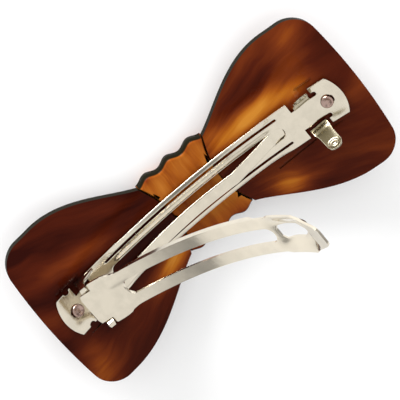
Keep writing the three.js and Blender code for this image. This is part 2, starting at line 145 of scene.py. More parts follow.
def prism(outline, low=CUT_FROM, high=CUT_TO):
    """An upright cutter on a plan outline in mm."""
    bm = bmesh.new()
    rings = [[bm.verts.new(Vector((x, y, z)) * MM) for x, y in outline] for z in (low, high)]
    bm.faces.new(rings[0])
    bm.faces.new(rings[1])
    count = len(outline)
    for i in range(count):
        k = (i + 1) % count
        bm.faces.new((rings[0][i], rings[0][k], rings[1][k], rings[1][i]))
    return finished("cutter", bm)


def applied(piece):
    """Bakes a piece's modifiers into its mesh."""
    graph = bpy.context.evaluated_depsgraph_get()
    graph.update()
    mesh = bpy.data.meshes.new_from_object(piece.evaluated_get(graph))
    piece.modifiers.clear()
    piece.data = mesh
    return piece


def boolean(piece, tool, operation="DIFFERENCE"):
    step = piece.modifiers.new("cut", "BOOLEAN")
    step.operation = operation
    step.solver = "EXACT"
    step.object = tool
    applied(piece)
    bpy.data.objects.remove(tool)
    return piece


def soften(piece, width, segments=2, angle=40):
    """Rounds a piece's sharp edges and shades the rest smooth."""
    step = piece.modifiers.new("edges", "BEVEL")
    step.width = width * MM
    step.segments = segments
    step.limit_method = "ANGLE"
    step.angle_limit = math.radians(angle)
    step.use_clamp_overlap = True
    step.harden_normals = False
    applied(piece)
    piece.data.shade_smooth()
    normals = piece.modifiers.new("normals", "WEIGHTED_NORMAL")
    normals.keep_sharp = False
    normals.weight = 80
    return applied(piece)


def slot_outline(x0, x1, middle, width, steps=8):
    """A slot along X with round ends."""
    r = width / 2
    ends = [(x1 - r, -90), (x0 + r, 90)]
    points = []
    for x, start in ends:
        for i in range(steps + 1):
            a = math.radians(start + 180 * i / steps)
            points.append((x + r * math.cos(a), middle + r * math.sin(a)))
    return points


# %% [markdown]
# ## The camera
#
# The camera looks almost straight down on the back of the bow, leans a little towards the bow's
# far side, and is turned so that the bow runs from lower left to upper right. A long lens far away
# keeps the shapes nearly flat, as in a catalogue.

# %% Camera
CAMERA_LEAN = math.radians(20)
CAMERA_TURN = math.radians(40)
CAMERA_DISTANCE = 500
FRAME_WIDTH = 88.889
SENSOR = 36
PLATE_LEVEL = 14
AIM_RIGHT = -0.5556
AIM_UP = 1.3333

toward = Vector((0, math.sin(CAMERA_LEAN), math.cos(CAMERA_LEAN)))
along_bow = Vector((1, 0, 0))
across_bow = toward.cross(along_bow)
right = along_bow * math.cos(CAMERA_TURN) - across_bow * math.sin(CAMERA_TURN)
up = along_bow * math.sin(CAMERA_TURN) + across_bow * math.cos(CAMERA_TURN)
target = Vector((CLIP_SHIFT, 0, PLATE_LEVEL)) + right * AIM_RIGHT + up * AIM_UP
camera_data = bpy.data.cameras.new("camera")
camera_data.sensor_width = SENSOR
camera_data.lens = SENSOR * CAMERA_DISTANCE / FRAME_WIDTH
camera = bpy.data.objects.new("camera", camera_data)
bpy.context.scene.collection.objects.link(camera)
turn = Matrix((right, up, toward)).transposed()
camera.matrix_world = Matrix.Translation((target + toward * CAMERA_DISTANCE) * MM) @ turn.to_4x4()
bpy.context.scene.camera = camera
print("lens", round(camera_data.lens), "mm")

# %% [markdown]
# ## Shader maths
#
# A material's pattern is arithmetic on positions and noise. The class below wraps a socket so that
# the arithmetic can be written as Python, and one method makes every other node.

# %% Sockets with operators
class Value:
    def __init__(self, finish, socket):
        self.finish = finish
        self.socket = socket

    def _math(self, operation, first, second=0.0, clamp=False):
        node = self.finish.node(
            "ShaderNodeMath", {"operation": operation, "use_clamp": clamp}, {0: first, 1: second}
        )
        return node[0]

    def __add__(self, other):
        return self._math("ADD", self, other)

    def __radd__(self, other):
        return self._math("ADD", other, self)

    def __sub__(self, other):
        return self._math("SUBTRACT", self, other)

    def __rsub__(self, other):
        return self._math("SUBTRACT", other, self)

    def __mul__(self, other):
        return self._math("MULTIPLY", self, other)

    def __rmul__(self, other):
        return self._math("MULTIPLY", other, self)

    def __truediv__(self, other):
        return self._math("DIVIDE", self, other)

    def __pow__(self, other):
        return self._math("POWER", self, other)

    def size(self):
        return self._math("ABSOLUTE", self)

    def clamped(self):
        return self._math("ADD", self, 0.0, clamp=True)

    def smooth_from(self, low, high):
        """0 below low, 1 above high, and soft between them."""
        settings = {"interpolation_type": "SMOOTHSTEP"}
        return self.finish.node("ShaderNodeMapRange", settings, {0: self, 1: low, 2: high})[0]

    def falloff(self):
        """exp of minus this value."""
        return self._math("POWER", math.e, self * -1)


class Nodes:
    """Makes nodes in one tree."""

    def __init__(self, tree):
        self.tree = tree

    def node(self, kind, settings=None, inputs=None):
        """Makes a node and returns its outputs as values."""
        made = self.tree.nodes.new(kind)
        for key, value in (settings or {}).items():
            if key == "stops":
                self._ramp(made, value)
            else:
                setattr(made, key, value)
        for key, value in (inputs or {}).items():
            if isinstance(value, Value):
                self.tree.links.new(value.socket, made.inputs[key])
            else:
                made.inputs[key].default_value = value
        return [Value(self, socket) for socket in made.outputs]

    def _ramp(self, made, stops):
        ramp = made.color_ramp
        ramp.elements.remove(ramp.elements[1])
        ramp.elements[0].position, ramp.elements[0].color = stops[0][0], (*stops[0][1], 1)
        for position, colour in stops[1:]:
            ramp.elements.new(position).color = (*colour, 1)

    def vector(self, x, y, z=0.0):
        return self.node("ShaderNodeCombineXYZ", None, {0: x, 1: y, 2: z})[0]

    def noise(self, vector, scale, detail=3.0, roughness=0.5, distortion=0.0):
        settings = {"Vector": vector, "Scale": scale, "Detail": detail}
        settings.update({"Roughness": roughness, "Distortion": distortion})
        return self.node("ShaderNodeTexNoise", None, settings)[0]

    def ramp(self, factor, stops):
        return self.node("ShaderNodeValToRGB", {"stops": stops}, {0: factor})[0]

    def blend(self, factor, first, second, kind="MIX"):
        settings = {"data_type": "RGBA", "blend_type": kind}
        return self.node("ShaderNodeMix", settings, {0: factor, 6: first, 7: second})[2]


class Finish(Nodes):
    """A material under construction, with one Principled shader."""

    def __init__(self, name, sockets):
        self.material = bpy.data.materials.new(name)
        self.material.use_nodes = True
        super().__init__(self.material.node_tree)
        self.shader = self.tree.nodes["Principled BSDF"]
        for key, value in sockets.items():
            self.shader.inputs[key].default_value = value

    def place(self):
        """The point on the piece, in millimetres, as three values."""
        point = self.node("ShaderNodeTexCoord")[3]
        in_mm = {0: point, "Scale": 1 / MM}
        scaled = self.node("ShaderNodeVectorMath", {"operation": "SCALE"}, in_mm)[0]
        return self.node("ShaderNodeSeparateXYZ", None, {0: scaled})

    def steepness(self):
        """0 where the surface faces straight up or down, 1 on an upright wall."""
        normal = self.node("ShaderNodeTexCoord")[1]
        facing = self.node("ShaderNodeSeparateXYZ", None, {0: normal})[2]
        return 1.0 - facing.size()

    def feed(self, socket, value):
        self.tree.links.new(value.socket, self.shader.inputs[socket])

    def dull(self, factor, colour):
        """Mixes a matt layer over the shader, where the factor is above 0."""
        matt = self.node("ShaderNodeBsdfDiffuse", None, {"Color": (*colour, 1)})[0]
        gloss = Value(self, self.shader.outputs[0])
        mixed = self.node("ShaderNodeMixShader", None, {0: factor, 1: gloss, 2: matt})[0]
        self.tree.links.new(mixed.socket, self.tree.nodes["Material Output"].inputs["Surface"])

    def bump(self, height, strength, distance):
        settings = {"Strength": strength, "Distance": distance * MM, "Height": height}
        self.feed("Normal", self.node("ShaderNodeBump", None, settings)[0])


# %% [markdown]
# ## Tortoiseshell acetate
#
# Tortoiseshell sheet is made by pressing chips and ribbons of amber and dark brown acetate
# together, so its colours run in soft streaks. On this bow they fan out from the knot. The pattern
# is noise in fan coordinates: distance from the middle, and angle from the bow's long axis. A few
# soft amber clouds are listed, since the real sheet has a light patch beside the clip. Steep walls
# get a painted shade: a dark, dulled rim that stands in for the dark reflections on the sheet's edges.

# %% Wing acetate
ACETATE = {"Roughness": 0.1, "Specular IOR Level": 0.05, "IOR": 1.49}


def rgb(r, g, b):
    """A screen colour from 0 to 255 as linear light."""
    return tuple((c / 255) ** 2.2 for c in (r, g, b))


def cloud(x, y, centre_x, centre_y, length, width, tilt=0.0):
    """A soft ellipse, 1 at its centre."""
    c, s = math.cos(math.radians(tilt)), math.sin(math.radians(tilt))
    dx, dy = x - centre_x, y - centre_y
    u = (dx * c + dy * s) / length
    v = (dy * c - dx * s) / width
    return (u * u + v * v).falloff()


RIM_PAINTED_SHADE = rgb(30, 28, 20)
RIM_PAINTED_SHADE_MIX = 0.7
WING_TONES = [
    (0.0, rgb(44, 14, 7)), (0.2, rgb(72, 28, 14)), (0.4, rgb(102, 46, 20)),
    (0.62, rgb(140, 72, 24)), (0.82, rgb(166, 98, 32)), (1.0, rgb(184, 120, 46)),
]
# Each amber cloud: centre x and y, length, width, tilt in degrees, strength.
AMBER_CLOUDS = [
    (21, 7.2, 9, 2.6, 8, 0.95), (30, 6.5, 5, 1.8, 4, 0.5), (11, 7.5, 4, 3.5, 30, 0.45),
    (18, -12.0, 5, 3.0, -30, 0.85), (36, 15, 7, 4, 50, 0.35), (-13, -8.5, 7, 2.4, 22, 0.95),
    (-41, -13, 4, 8, -20, 0.5), (-33, 9, 11, 2.2, -14, 0.35),
]


def acetate_wing():
    f = Finish("tortoiseshell wing", ACETATE)
    x, y, z = f.place()
    reach = x.size()
    side = x / (reach + 0.1)
    fan = y / (reach + 14.0)
    warp = f.noise(f.vector(x * 0.05, y * 0.05, side * 4.0), 1.0, 2.0) - 0.5
    lanes = fan + warp * 0.22
    flow = f.noise(f.vector(lanes * 5.5, reach * 0.035, side * 3.0), 1.0, 2.0, 0.5)
    streak = f.noise(f.vector(lanes * 17.0, reach * 0.05, side * 7.0), 1.0, 3.0, 0.55)
    grain = f.noise(f.vector(lanes * 70.0, reach * 0.25, side), 1.0, 2.0, 0.6)
    amber = sum(cloud(x, y, *shape) * strength for *shape, strength in AMBER_CLOUDS)
    light = amber * (0.5 + streak * 0.55)
    light = light + (flow - 0.5) * 0.75 + (streak - 0.5) * 0.28 + (grain - 0.5) * 0.07
    tone = (light + 0.16 + side * 0.05).clamped()
    # Painted shade: steep walls get a dark, dulled rim that stands in for the dark reflections on the
    # edges.
    rim_painted_shade = f.steepness().smooth_from(0.2, 0.55)
    f.feed("Base Color", f.blend(rim_painted_shade, f.ramp(tone, WING_TONES), (*RIM_PAINTED_SHADE, 1)))
    f.dull(rim_painted_shade * RIM_PAINTED_SHADE_MIX, RIM_PAINTED_SHADE)
    waves = f.noise(f.vector(x * 0.12, y * 0.12, 0.0), 1.0, 1.0)
    f.bump(waves, 0.2, 0.4)
    return f.material


# %% [markdown]
# The knot is cut from the same kind of sheet, but from an amber stretch of it. Its streaks run
# round the knot, along the pleats, with thin light lines where the folds pull the colour apart.

# %% Knot acetate
KNOT_TONES = [
    (0.0, rgb(78, 30, 14)), (0.3, rgb(112, 50, 20)), (0.55, rgb(148, 80, 28)),
    (0.8, rgb(176, 108, 42)), (1.0, rgb(200, 136, 68)),
]


def acetate_knot():
    f = Finish("tortoiseshell knot", ACETATE)
    x, y, z = f.place()
    bend = x + (f.noise(f.vector(x * 0.12, y * 0.1, 0.0), 1.0, 2.0) - 0.5) * 3.0
    broad = f.noise(f.vector(bend * 0.16, y * 0.06, z * 0.05), 1.0, 2.0)
    streak = f.noise(f.vector(bend * 0.5, y * 0.035, z * 0.05), 1.0, 3.0, 0.55)
    grain = f.noise(f.vector(bend * 3.0, y * 0.25, 0.0), 1.0, 2.0, 0.6)
    fold = 1.0 - ((streak - 0.52).size() * 22.0).clamped()
    edge = (y.size() / 10.5) ** 6.0
    # Painted shade: a darker patch on the knot's -y side, which faces away from the light.
    shade = cloud(x, y, 4, -9, 7, 3.5) * 0.35
    tone = 0.6 + (broad - 0.5) * 1.5 + (streak - 0.5) * 0.3 + (grain - 0.5) * 0.1 - shade
    tone = (tone + fold * 0.06 - edge * 0.3).clamped()
    # Painted shade: steep walls get a dark, dulled rim that stands in for the dark reflections on the
    # edges.
    rim_painted_shade = f.steepness().smooth_from(0.2, 0.5)
    f.feed("Base Color", f.blend(rim_painted_shade, f.ramp(tone, KNOT_TONES), (*RIM_PAINTED_SHADE, 1)))
    f.dull(rim_painted_shade * RIM_PAINTED_SHADE_MIX, RIM_PAINTED_SHADE)
    f.bump(streak, 0.1, 0.3)
    return f.material


# %% [markdown]
# ## Nickel plate and rivet steel
#
# The clip is bright nickel over steel: slightly warm, almost a mirror, with faint scratches and
# spots where handling has dulled the plate. The scratches only change the roughness, so the
# reflections stay clean. The prong tabs get a darker copy of the nickel, a painted shade for the
# dark reflections they show. The rivet heads are steel with a duller face, and their browner tint is
# painted reflection of the brown acetate around them.

# %% Metals
WORN_SHADE = 0.92


def nickel(name, colour, base_roughness, spots):
    f = Finish(name, {"Metallic": 1.0})
    x, y, z = f.place()
    grain = f.noise(f.vector(x * 0.4, y * 5.0, z * 0.4), 1.0, 4.0, 0.6)
    haze = f.noise(f.vector(x * 0.35, y * 0.35, z * 0.35), 1.0, 3.0)
    f.feed("Roughness", (base_roughness + (grain - 0.5) * 0.08 + (haze - 0.5) * spots).clamped())
    worn = f.ramp(haze, [(0.35, [c * WORN_SHADE for c in colour]), (0.6, colour)])
    f.feed("Base Color", worn)
    ripple = f.noise(f.vector(x * 0.5, y * 0.5, z * 0.5), 1.0, 2.0)
    f.bump(ripple, 0.1, 0.1)
    return f.material


WING_MATERIAL = acetate_wing()
KNOT_MATERIAL = acetate_knot()
NICKEL_MATERIAL = nickel("nickel plate", rgb(218, 209, 191), 0.14, 0.1)
# Painted shade: the prong tabs use a darker copy of the nickel to stand in for their dark reflections.
PRONG_MATERIAL = nickel("prong nickel with painted shade", rgb(176, 168, 146), 0.16, 0.1)
# Painted reflection: the rivet's browner tint stands in for the brown acetate seen in its head.
RIVET_MATERIAL = nickel("rivet steel", rgb(172, 146, 136), 0.26, 0.2)
print("materials:", len(bpy.data.materials))


def dress(piece, material, body, slot, *nodes):
    """Gives a piece its finish, its body and the frame nodes it stands for."""
    piece.data.materials.clear()
    piece.data.materials.append(material)
    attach(piece, body)
    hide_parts(*nodes)
    return piece


# %% [markdown]
# ## The wings
#
# Each wing is one curved sheet of acetate. Along the bow it follows a gentle arc that flattens at
# the tips, and across it droops a little towards the edges. Its plan flares from the neck and ends
# in two round corners. The edges are tumbled round, so the bevel is wide. A shallow flat is milled
# where the clip's end plate sits, and beside it the cutter has left a thin line.

# %% Wing shape
SEAM_HALF = 9.1
SEAM_BULGE = 2.4
FLARE_START = 8.5
FLARE_END = 34
WING_CURVE = 92
WING_DROOP = 140
TIP_BULGE = 1.4
CORNER = 5.5
TIP_FLAT_START = 33
TIP_FLATTENING = 0.028
EDGE_ROUND = 1.0
END_STEP = 0.9
END_STEP_START = 30.2
END_STEP_LENGTH = 2.4
SEAT_START = 29
SEAT_END = CLIP_HALF + 1.4
SEAT_HALF_WIDTH = 6.2
SEAT_DEPTH = 6
LINE_START = (18.2, -7.1)
LINE_END = (28.6, -6.3)
LINE_WIDTH = 0.4
LINE_DEPTH = 0.3


def base_underside(x):
    arc = BASE_UNDERSIDE + BASE_RADIUS - math.sqrt(BASE_RADIUS**2 - x * x)
    return arc - END_STEP * smooth((abs(x) - END_STEP_START) / END_STEP_LENGTH)


def wing_back(x, y):
    rise = WING_CURVE - math.sqrt(WING_CURVE**2 - x * x)
    flat = TIP_FLATTENING * max(0, x - TIP_FLAT_START) ** 2
    return NECK_BACK + rise - flat - y * y / (2 * WING_DROOP)


def wing_half_width(x):
    t = min(max((x - FLARE_START) / (FLARE_END - FLARE_START), 0), 1)
    return mix(NECK_HALF_WIDTH, WING_HALF_WIDTH, math.sin(t * math.pi / 2) ** 1.2)


def tip_rounding(across):
    edge = max(0, abs(across) - (1 - CORNER / WING_HALF_WIDTH)) * WING_HALF_WIDTH
    return CORNER - math.sqrt(max(0, CORNER**2 - edge * edge))


def router_line(s, t, w):
    """The thin groove that the cutter left beside the latch end's flat."""
    x = mix(LINE_START[0], LINE_END[0], s)
    y = mix(LINE_START[1], LINE_END[1], s) - t * LINE_WIDTH
    return x, y, wing_back(x, y) - LINE_DEPTH + w * 2


def seat_cutter(side):
    """The milled flat under an end plate, a little off the middle at the hinge end."""
    offset = 0.4 if side < 0 else 0

    def place(s, t, w):
        x = mix(SEAT_START, SEAT_END, s)
        y = (2 * t - 1) * SEAT_HALF_WIDTH - offset
        return side * x + CLIP_SHIFT, y, base_underside(x) - GAP + w * SEAT_DEPTH

    return sheet("cutter", 24, 1, place)


def wing(name, side):
    def place(s, t, w):
        across = math.sin((t - 0.5) * math.pi)
        inner = SEAM_HALF + GAP - SEAM_BULGE * (1 - across * across)
        outer = BOW_HALF - TIP_BULGE * across * across - tip_rounding(across)
        x = mix(inner, outer, s)
        y = across * wing_half_width(x)
        z = wing_back(x, y) - WING_THICKNESS * (1 - w)
        return side * x, side * y, z

    piece = sheet(name, 60, 56, place)
    soften(piece, EDGE_ROUND, segments=5, angle=50)
    boolean(piece, seat_cutter(side))
    if side > 0:
        boolean(piece, sheet("cutter", 16, 1, router_line))
    piece.data.shade_smooth()
    normals = piece.modifiers.new("normals", "WEIGHTED_NORMAL")
    normals.keep_sharp = True
    piece.data.set_sharp_from_angle(angle=math.radians(30))
    return applied(piece)


# %% Make the wings
for wing_name, wing_side in (("hinge_end_wing", -1), ("latch_end_wing", 1)):
    shell = wing(wing_name + ".acetate", wing_side)
    dress(shell, WING_MATERIAL, "bow", "wing_acetate", wing_name)
    print(shell.name, len(shell.data.polygons), "faces")

# %% [markdown]
# ## The knot
#
# The knot fills the gap between the wings and wraps over their fronts. Heat-formed pleats run
# round it, so its two ends show three lobes. It is one core with a wider front, each a bent block,
# joined and then rounded. Small wedge-shaped gaps stay along the seams, where a pleat turns in.

# %% Knot shape
KNOT_HALF_LENGTH = 9.4
KNOT_HALF_WIDTH = 10.5
KNOT_LOBE = 0.5
KNOT_ROUND = 0.9
KNOT_ROUND_DROP = 1.8
LOBES = 3
CORE_FLOOR = 1
CORE_TUCK = 2.2
PLEAT_DEPTH = 0.25
CROWN_ENDS = 1.1
CROWN_SIDES = 2.9
# Each wedge: side of the knot, y, length.
SEAM_WEDGES = [(1, 4.7, 2.2), (1, -2.6, 1.3), (1, -6.4, 1.0), (-1, 5.6, 1.6), (-1, -1.4, 1.6)]


def seam(across):
    return SEAM_HALF - SEAM_BULGE * (1 - across * across)


def knot_half_width(x):
    return KNOT_HALF_WIDTH + KNOT_LOBE * math.cos(LOBES * math.pi * x / KNOT_HALF_LENGTH)


def pleat(x, y):
    wander = x + 0.6 * math.sin(y * 0.35)
    return 0.5 - 0.5 * math.cos(LOBES * math.pi * wander / KNOT_HALF_LENGTH)


def knot_core(s, t, w):
    across = math.sin((t - 0.5) * math.pi)
    x = (2 * s - 1) * seam(across)
    y = across * knot_half_width(x)
    droop = y * y / (2 * WING_DROOP)
    top = NECK_BACK + x * x / (2 * WING_CURVE) - droop - PLEAT_DEPTH * pleat(x, y)
    edge = max(0, abs(y) - knot_half_width(x) + KNOT_ROUND)
    top -= KNOT_ROUND_DROP * (KNOT_ROUND - math.sqrt(max(0, KNOT_ROUND**2 - edge * edge)))
    return x, y, top if w else CORE_FLOOR + CORE_TUCK * abs(across) ** 6


def knot_front(s, t, w):
    along = 2 * s - 1
    across = math.sin((t - 0.5) * math.pi)
    x = along * KNOT_HALF_LENGTH
    y = across * knot_half_width(x)
    crown = CROWN_ENDS * along**4 + CROWN_SIDES * across**6 - 0.15
    crown += 0.5 * pleat(x, y) * smooth(abs(across) * 1.5)
    top = NECK_BACK - WING_THICKNESS - GAP - NECK_HALF_WIDTH**2 / (2 * WING_DROOP)
    return x, y, top if w else min(max(crown, 0), top - 0.3)


def seam_wedge(side, y, length):
    """The little three-cornered gap where a pleat leaves the seam."""
    x = side * (seam(y / KNOT_HALF_WIDTH) + 0.3)
    inner = [(x - side * 0.35, y + 0.9 * length), (x - side * 1.1, y - 0.35)]
    return prism([(x, y - 0.5), (x, y + 0.6)] + inner, low=3)


# %% Make the knot
knot = sheet("centre_knot.acetate", 64, 56, knot_core)
boolean(knot, sheet("cutter", 64, 56, knot_front), "UNION")
for wedge in SEAM_WEDGES:
    boolean(knot, seam_wedge(*wedge))
soften(knot, 0.2, segments=2, angle=50)
dress(knot, KNOT_MATERIAL, "bow", "knot_acetate", "centre_knot")
print(knot.name, len(knot.data.polygons), "faces")

# %% [markdown]
# ## The base plate
#
# The base is one stamping. It starts as a curved strip that steps down onto its two round end
# plates. The rails are narrower and rolled down in the middle, and their inner bands are lipped up
# beside the window, which stiffens them. The ends, window, slots and holes are cut from above, and
# the hinge ears are joined on.

# %% Base plate outline
FRAME_END = 30
LATCH_END = 28.4
D_START = 34.4
D_CORNER = 38.6
SIDE = 5
NECK = 2.6
WINDOW_END = 24.8
WINDOW_HALF = 1.45
SLOT_INSIDE = 3.1
SLOT_WIDTH = 0.6
WAIST = 0.35
WAIST_START = 26
LIP = 0.12
ROLL = 0.75
NOTCH_WIDTH = 1.1
NOTCH_END = 35.4
CORNER_BITE_X = -35.6
CORNER_BITE = 0.75
RIVET_HOLE = 1.2


def end_arc(sign, steps=14):
    """The round end of an end plate, from its lower to its upper corner on the latch side."""
    corner = Vector((D_CORNER, SIDE))
    sagitta = CLIP_HALF - D_CORNER
    radius = (SIDE**2 + sagitta**2) / (2 * sagitta)
    reach = math.asin(SIDE / radius)
    points = []
    for i in range(steps + 1):
        a = mix(-reach, reach, i / steps)
        x = CLIP_HALF - radius + radius * math.cos(a)
        points.append((sign * x, sign * radius * math.sin(a)))
    return points


def base_outline():
    wide = SIDE + 1
    latch = [(LATCH_END, -wide), (LATCH_END, -NECK), (D_START, -NECK), (D_START, -wide)]
    hinge = [(-FRAME_END, wide), (-FRAME_END, NECK), (-D_START, NECK), (-D_START, wide)]
    upper_latch = [(x, -y) for x, y in reversed(latch)]
    lower_hinge = [(x, -y) for x, y in reversed(hinge)]
    points = latch + end_arc(1) + upper_latch + hinge + end_arc(-1) + lower_hinge
    return [(x + CLIP_SHIFT, y) for x, y in points]


def base_point(s, t, w):
    x = (2 * s - 1) * (CLIP_HALF + 1)
    y = (2 * t - 1) * (SIDE - WAIST * smooth((WAIST_START - abs(x)) / 9))
    ends = smooth((WINDOW_END - 0.8 - abs(x)) / 3)
    lip = LIP * smooth((WINDOW_HALF + 1.2 - abs(y)) / 1.1)
    roll = ROLL * smooth((abs(y) - SLOT_INSIDE - SLOT_WIDTH + 0.2) / 2.4)
    return x + CLIP_SHIFT, y, base_underside(x) + w * PLATE + ends * (lip - roll)


def shifted(outline):
    return [(x + CLIP_SHIFT, y) for x, y in outline]


def disc_outline(x, y, radius, steps=20):
    turns = [2 * math.pi * i / steps for i in range(steps)]
    return [(x + radius * math.cos(a), y + radius * math.sin(a)) for a in turns]


# %% Make the base plate
base = sheet("base_plate.stamping", 110, 40, base_point)
boolean(base, prism(base_outline()), "INTERSECT")
cuts = [slot_outline(-WINDOW_END, WINDOW_END, 0, 2 * WINDOW_HALF, 12)]
for side in (-1, 1):
    slot_middle = side * (SLOT_INSIDE + SLOT_WIDTH / 2)
    notch_middle = side * (NECK + NOTCH_WIDTH / 2)
    cuts.append(slot_outline(-WINDOW_END, WINDOW_END, slot_middle, SLOT_WIDTH))
    cuts.append(slot_outline(D_START - 2, NOTCH_END, notch_middle, NOTCH_WIDTH))
    cuts.append(disc_outline(CORNER_BITE_X, side * SIDE, CORNER_BITE))
    cuts.append(disc_outline(side * RIVET_X, 0, RIVET_HOLE))
for outline in cuts:
    boolean(base, prism(shifted(outline)))
print(base.name, len(base.data.polygons), "faces")

# %% [markdown]
# The hinge ears stand on the ends of the rails. Each is a narrow upright that passes through a
# notch in the arm, and its top is folded outward so that the arm can't lift off.

# %% Hinge ears
HINGE_X = -31.9
HINGE_HEIGHT = 6.6
EAR_Y = 4.35
EAR_HALF = 0.8
LUG_REACH = 1.35


def base_top(x):
    """The plate's upper face, as if its arc ran on without the step at the ends."""
    return BASE_UNDERSIDE + PLATE + BASE_RADIUS - math.sqrt(BASE_RADIUS**2 - x * x)


HINGE_Z = base_top(HINGE_X) + HINGE_HEIGHT


def ear(side):
    top = HINGE_Z + PLATE / 2 + GAP - 0.1
    foot = base_underside(FRAME_END)

    def wall(s, t, w):
        up = mix(foot, top, s)
        spread = smooth(1 - s * 2.2)
        x = HINGE_X + mix(-EAR_HALF * mix(1, 1.6, spread), mix(EAR_HALF, 4.2, spread), t)
        y = side * (EAR_Y + w * PLATE)
        return x + CLIP_SHIFT, y, up

    def lug(s, t, w):
        curl = smooth(s * 3)
        x = HINGE_X + (2 * t - 1) * EAR_HALF * mix(1, 0.8, smooth(s * 2 - 1))
        return x + CLIP_SHIFT, side * (EAR_Y + s * LUG_REACH), top + mix(-0.5, 0, curl) + w * PLATE

    upright = sheet("ear", 20, 10, wall)
    return boolean(upright, sheet("cutter", 8, 6, lug), "UNION")


for side in (-1, 1):
    boolean(base, ear(side), "UNION")
soften(base, 0.07, segments=1, angle=45)
dress(base, NICKEL_MATERIAL, "bow", "nickel_plate", "base_plate")

# %% [markdown]
# ## The clasp arm
#
# The arm is a second stamping with the same bend. It is drawn here closed and flat on its arc, by
# distance s from the hinge, and then turned open about the hinge, as the frame has it. Its rails
# have turned-down edges. Its head is pressed into a shallow dish with a seven-sided opening, and
# ends in a narrow nose.

# %% Arm shape
ARM_RADIUS = 75
ARM_OPEN = math.radians(46)
ARM_LENGTH = 73
HEEL = 1.8
ROOT_HALF = 5.7
RAIL_HALF = 4.65
HEAD_START = 55
HEAD_END = 67
HEAD_HALF = 5.0
DIP = 1.4
DIP_START = 52
FLANGE_START = 9.5
FLANGE_END = 51.5
FLANGE_DEPTH = 1.1
WINDOW_START = 8
WINDOW_STOP = 54
ARM_WINDOW_WIDTH = 3.9
OPENING = [(55.3, 1.0), (56.1, 1.9), (62.8, 1.9), (65.6, 0)]
OPENING_HALF = 1.9
ARM_START_ANGLE = math.asin(HINGE_X / ARM_RADIUS)


def arm_flat(s, offset=0.0):
    """A point of the closed arm, s along it and offset above its middle, from the hinge."""
    a = ARM_START_ANGLE + s / ARM_RADIUS
    r = ARM_RADIUS - offset
    return r * math.sin(a) - HINGE_X, ARM_RADIUS * math.cos(ARM_START_ANGLE) - r * math.cos(a)


def head_dip(s, y):
    fall = smooth((s - DIP_START) / 7)
    rise = smooth((s - HEAD_END + 1.5) / 3)
    across = 1 - smooth((abs(y) - OPENING_HALF) / (HEAD_HALF - OPENING_HALF))
    return DIP * fall * (1 - rise) * across


def arm_half_outline():
    notch = EAR_HALF * 1.8
    heel = [(-HEEL, 3.0), (-HEEL + 0.15, 3.5), (-notch, EAR_Y - GAP), (notch, EAR_Y - GAP)]
    root = [(notch, ROOT_HALF - 0.3), (notch + 0.3, ROOT_HALF), (3.6, ROOT_HALF)]
    neck = [(4.8, ROOT_HALF - 0.08), (6, ROOT_HALF - 0.3), (6.8, ROOT_HALF - 0.7), (7.6, RAIL_HALF + 0.2)]
    rail = [(8.5, RAIL_HALF + 0.05), (9.5, RAIL_HALF), (HEAD_START - 1, RAIL_HALF)]
    head = [(HEAD_START + 1, HEAD_HALF), (HEAD_END - 2, HEAD_HALF), (HEAD_END, HEAD_HALF - 0.9)]
    nose = [(ARM_LENGTH - 1.2, 2.6), (ARM_LENGTH - 0.4, 2.2), (ARM_LENGTH, 1.5)]
    return heel + root + neck + rail + head + nose


def arm_outline():
    half = [(arm_flat(s)[0], y) for s, y in arm_half_outline()]
    return [(x, -y) for x, y in half] + list(reversed(half))


def arm_sheet(s, t, w):
    along = -HEEL - 0.5 + (ARM_LENGTH + HEEL + 1) * s
    y = (2 * t - 1) * (ROOT_HALF + 0.5)
    tongue = smooth((along - 4) / 1.2) * (1 - smooth((along - 9) / 2))
    tongue *= 0.25 * (1 - smooth((abs(y) - 1.2) / 1.4))
    x, z = arm_flat(along, (w - 0.5) * PLATE - head_dip(along, y) - tongue)
    return x, y, z


def arm_flange(side):
    def place(s, t, w):
        along = mix(FLANGE_START, FLANGE_END, s)
        depth = FLANGE_DEPTH * smooth(s * 12) * smooth((1 - s) * 12)
        x, z = arm_flat(along, PLATE / 2 - 0.12 - (1 - w) * (depth + 0.2))
        return x, side * (RAIL_HALF - t * PLATE), z

    return sheet("cutter", 60, 2, place)


# %% Make the clasp arm
arm = sheet("clasp_arm.stamping", 150, 44, arm_sheet)
boolean(arm, prism(arm_outline()), "INTERSECT")
for side in (-1, 1):
    boolean(arm, arm_flange(side), "UNION")
window_ends = arm_flat(WINDOW_START)[0], arm_flat(WINDOW_STOP)[0]
boolean(arm, prism(slot_outline(*window_ends, 0, ARM_WINDOW_WIDTH, 12)))
opening = [(arm_flat(s)[0], -y) for s, y in OPENING]
boolean(arm, prism(opening + [(x, -y) for x, y in reversed(opening[:-1])]))
soften(arm, 0.09, segments=2, angle=45)
hinge = Vector((HINGE_X + CLIP_SHIFT, 0, HINGE_Z)) * MM
arm.data.transform(Matrix.Translation(hinge) @ Matrix.Rotation(-ARM_OPEN, 4, "Y"))
dress(arm, NICKEL_MATERIAL, "arm", "nickel_plate", "clasp_arm")
print(arm.name, len(arm.data.polygons), "faces")

# %% [markdown]
# ## The leaf spring
#
# A thin tempered strip is tucked under the plate at the latch end of the window. It climbs straight
# out of the window to a kink, and bows up towards the hinge, where it pushes the arm open. Its free
# end is round.

# %% Leaf spring
SPRING_FREE = -26
SPRING_ROOT = 24.8
SPRING_KINK = 9.5
SPRING_DIVE = 23.2
SPRING_OFFSET = -0.2
SPRING_LOW = 12
SPRING_RISE = 8.2
SPRING_TUCK = 0.62
SPRING_HALF_WIDTH = 1.4
SPRING_THICKNESS = 0.4


def spring_bow(x):
    free = base_top(SPRING_FREE) + SPRING_RISE
    return SPRING_LOW + (free - SPRING_LOW) * (x / SPRING_FREE) ** 2


